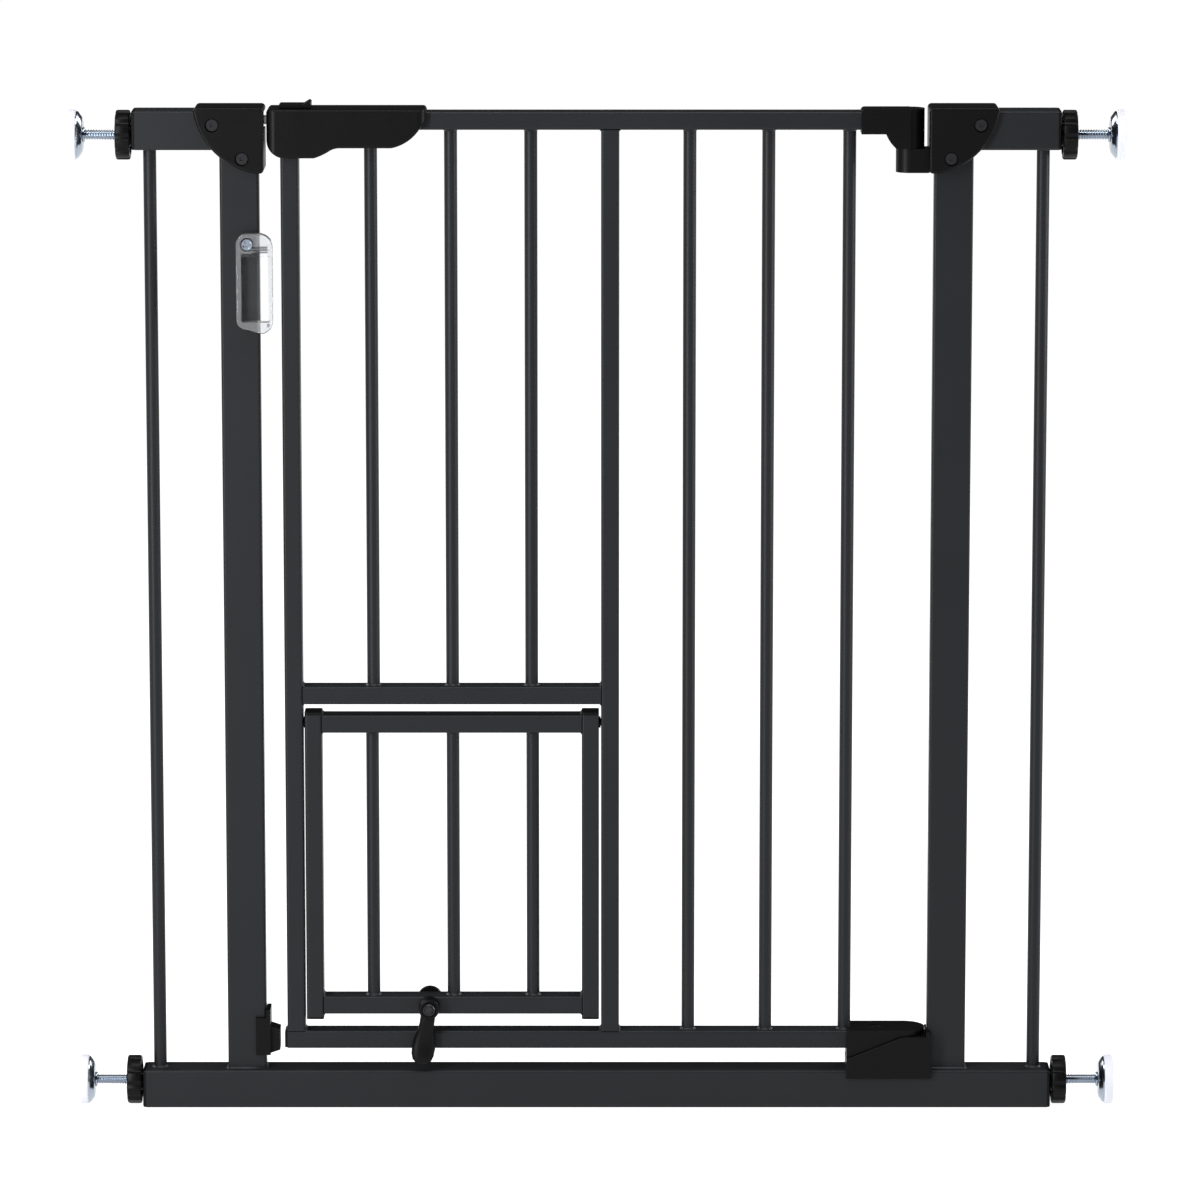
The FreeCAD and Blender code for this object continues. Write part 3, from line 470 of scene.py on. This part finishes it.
def lock_bolt():
    """The lever's bolt: a button head with a raised ring and a socket, and a nut at the rear."""
    low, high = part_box("lock_bolt")
    shank, head, nut, mouth, socket = (r * MM for r in (2.5, 4.7, 4.2, 3.5, 2.4))
    face, end, middle = -low.y, -high.y, (low + high) / 2
    seat, nut_face = face - 2.0 * MM, end + 3.0 * MM
    mesh = bmesh.new()
    lathe(mesh, ((end, 0), (end, nut - 0.6 * MM), (end + 0.6 * MM, nut), (nut_face, nut),
                 (nut_face, shank), (seat, shank), (seat, head), (face - 0.5 * MM, head),
                 (face, head - 0.5 * MM), (face, mouth + 0.2 * MM), (face - 0.5 * MM, mouth),
                 (face - 0.1 * MM, mouth - 0.4 * MM), (face - 0.1 * MM, socket + 0.2 * MM),
                 (face - 0.3 * MM, socket), (face - 1.5 * MM, socket), (face - 1.5 * MM, 0)), False)
    for vert in fresh(mesh):
        vert.co = Vector((vert.co.x + middle.x, -vert.co.z, vert.co.y + middle.z))
    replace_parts(new_piece("flap_lock_bolt", mesh, OXIDE, "flap_lock", 30), "lock_bolt")


lock_lever()
lock_bolt()


# --- Clear door stop ------------------------------------------------------------------------------
# A clear polycarbonate moulding on the left post, screwed on through its top. Its walls are a little
# milky, and the floor of its pocket is thin and nearly invisible. Three thin dark bands near its top are
# painted shade standing in for the refracting edges of a ledge.
def clear_moulding():
    low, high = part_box("door_stop")
    wall, seat, foot, soft, thin = 3.9 * MM, 15.0 * MM, 9.5 * MM, 0.5 * MM, 0.82
    painted_shade_line_drops, half_line, ledge_reach = (10.6 * MM, 12.6 * MM, 14.8 * MM), 0.6 * MM, 15.5 * MM
    clear = Finish("clear_polycarbonate", Transmission_Weight=0.86, IOR=1.45)
    split = clear.node("SeparateXYZ", {}, {0: clear.place})
    across, upward = (Value(clear, split.socket.node.outputs[i]) for i in (0, 2))

    def between(place, start, end):
        """One from start to end and zero outside, with soft steps."""
        rise, fall = (clear.node("MapRange", {}, {"Value": place, "From Min": edge - way,
                                                  "From Max": edge + way})
                      for edge, way in ((start, soft), (end, -soft)))
        return rise * fall

    pocket = (between(across, low.x + wall, high.x - wall)
              * between(upward, low.z + foot, high.z - seat))
    # Painted shade: three thin dark bands across the upper right of the pocket, in place of a ledge's
    # refracting edges.
    shadow = 0
    for drop in painted_shade_line_drops:
        shadow = shadow + between(upward, high.z - drop - half_line, high.z - drop + half_line)
    shadow = shadow * between(across, high.x - ledge_reach, high.x - wall)
    smear = clear.noise(6 * MM, 3.0)
    tint = clear.blend(smear, (0.80, 0.82, 0.84), (0.66, 0.68, 0.70))
    tint_with_painted_shade = clear.node("Mix", {"data_type": "RGBA"}, {0: shadow, 6: tint, 7: (0.03, 0.03, 0.04, 1)}, 2)
    clear.drive(Base_Color=tint_with_painted_shade, Roughness=0.04 + 0.06 * smear, Alpha=1 - thin * pocket)
    return clear.material


def cross_screw():
    """The stop's pan-head screw, with a cross recess that faces forwards, and its small pin."""
    low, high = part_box("stop_screws")
    radius, rise, depth, arm, wide, shank = (v * MM for v in (5.0, 2.8, 1.6, 3.4, 0.9, 2.0))
    centre, pin, pin_reach = Vector((low.x + radius, 0, high.z - radius)), 1.2 * MM, 5.8 * MM
    steps, turned = 48, Matrix.Rotation(math.radians(25), 3, "Z")
    mesh = bmesh.new()

    def ring(r, z):
        return [mesh.verts.new((r * math.cos(a), r * math.sin(a), z))
                for a in (math.tau * i / steps for i in range(steps))]

    def skin(upper, lower):
        for i, j in zip(range(len(upper)), [*range(1, len(upper)), 0]):
            mesh.faces.new((upper[i], upper[j], lower[j], lower[i]))

    rim = ring(0.82 * radius, rise)
    corners = [(wide, wide), (wide, arm), (-wide, arm), (-wide, wide), (-arm, wide), (-arm, -wide),
               (-wide, -wide), (-wide, -arm), (wide, -arm), (wide, -wide), (arm, -wide), (arm, wide)]
    mouth = [mesh.verts.new((x, y, rise)) for x, y in corners]
    bottom = [mesh.verts.new((0.8 * x, 0.8 * y, rise - depth)) for x, y in corners]
    loops = [mesh.edges.new(pair) for loop in (rim, mouth) for pair in zip(loop, loop[1:] + loop[:1])]
    bmesh.ops.triangle_fill(mesh, edges=loops, use_beauty=True)
    within = [f for f in mesh.faces for x, y, z in [map(abs, f.calc_center_median())]
              if min(x, y) < wide and max(x, y) < arm]
    bmesh.ops.delete(mesh, geom=within, context="FACES")
    skin(mouth, bottom)
    mesh.faces.new(bottom)
    for r, z in ((0.95 * radius, 0.75 * rise), (radius, 0.35 * rise), (radius, 0),
                 (shank, 0), (shank, low.y - high.y + rise)):
        following = ring(r, z)
        skin(rim, following)
        rim = following
    mesh.faces.new(rim)
    for vert in fresh(mesh):
        x, y, z = turned @ vert.co
        vert.co = Vector((x + centre.x, low.y + rise - z, y + centre.z))
    lathe(mesh, ((0, 0), (0, pin), (pin_reach, pin), (pin_reach, 0)), False, 24)
    for vert in fresh(mesh):
        vert.co = Vector((vert.co.x + high.x - pin, low.y + vert.co.z, vert.co.y + low.z + pin))
    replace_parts(new_piece("door_stop_screw", mesh, ZINC, "frame", 30), "stop_screws")


paint(clear_moulding(), "door_stop")
cross_screw()


# --- Studio ---------------------------------------------------------------------------------------
# A wide pale floor lit from within, in a dim room with tall soft lights on both sides, and a long
# lens a little above the gate.
def floor():
    mesh = bmesh.new()
    bmesh.ops.create_circle(mesh, cap_ends=True, segments=96, radius=30.0)
    bmesh.ops.translate(mesh, verts=mesh.verts, vec=(0, 0, -0.2 * MM))
    data = bpy.data.meshes.new("studio_floor")
    mesh.to_mesh(data)
    mesh.free()
    paper = Finish("studio_paper", Roughness=0.9, Specular_IOR_Level=0.1, Emission_Strength=1.0)
    paper.drive(Base_Color=paper.blend(paper.noise(0.5), (0.30, 0.30, 0.30), (0.34, 0.34, 0.34)),
                Emission_Color=(1.0, 1.0, 1.0, 1.0))
    data.materials.append(paper.material)
    sheet = bpy.data.objects.new("studio_floor", data)
    bpy.context.scene.collection.objects.link(sheet)


def softbox(name, place, target, size, power):
    light = bpy.data.lights.new(name, "AREA")
    light.shape, light.size, light.size_y, light.energy = "RECTANGLE", size[0], size[1], power
    lamp = bpy.data.objects.new(name, light)
    lamp.location = place
    lamp.rotation_euler = (Vector(target) - Vector(place)).to_track_quat("-Z", "Y").to_euler()
    bpy.context.scene.collection.objects.link(lamp)


def studio():
    floor()
    middle = (0, 0, 0.4)
    softbox("key_softbox", (-1.7, -2.4, 2.3), middle, (0.9, 1.8), 60)
    softbox("left_strip", (-1.1, -1.4, 0.62), middle, (0.22, 1.2), 22)
    softbox("right_strip", (2.0, -0.25, 0.8), middle, (0.35, 1.5), 26)
    softbox("top_softbox", (0, -0.5, 2.6), middle, (2.2, 0.9), 40)
    softbox("rear_left_softbox", (-2.2, 2.4, 2.0), middle, (0.9, 1.8), 35)
    softbox("rear_right_softbox", (2.2, 2.4, 2.0), middle, (0.9, 1.8), 35)
    world = bpy.data.worlds.new("studio")
    world.use_nodes = True
    world.node_tree.nodes["Background"].inputs["Color"].default_value = (1, 1, 1, 1)
    world.node_tree.nodes["Background"].inputs["Strength"].default_value = 0.035
    bpy.context.scene.world = world
    bpy.context.scene.view_settings.view_transform = "Standard"


def camera():
    distance, pitch, focal = 5.03, math.radians(10.0), 195.1
    target = Vector((0.0027, 0, 0.4006))
    lens = bpy.data.cameras.new("camera")
    lens.lens, lens.sensor_width = focal, 36.0
    eye = bpy.data.objects.new("camera", lens)
    ahead = Vector((0, math.cos(pitch), -math.sin(pitch)))
    eye.location = target - distance * ahead
    eye.rotation_euler = ahead.to_track_quat("-Z", "Y").to_euler()
    bpy.context.scene.collection.objects.link(eye)
    bpy.context.scene.camera = eye


studio()
camera()
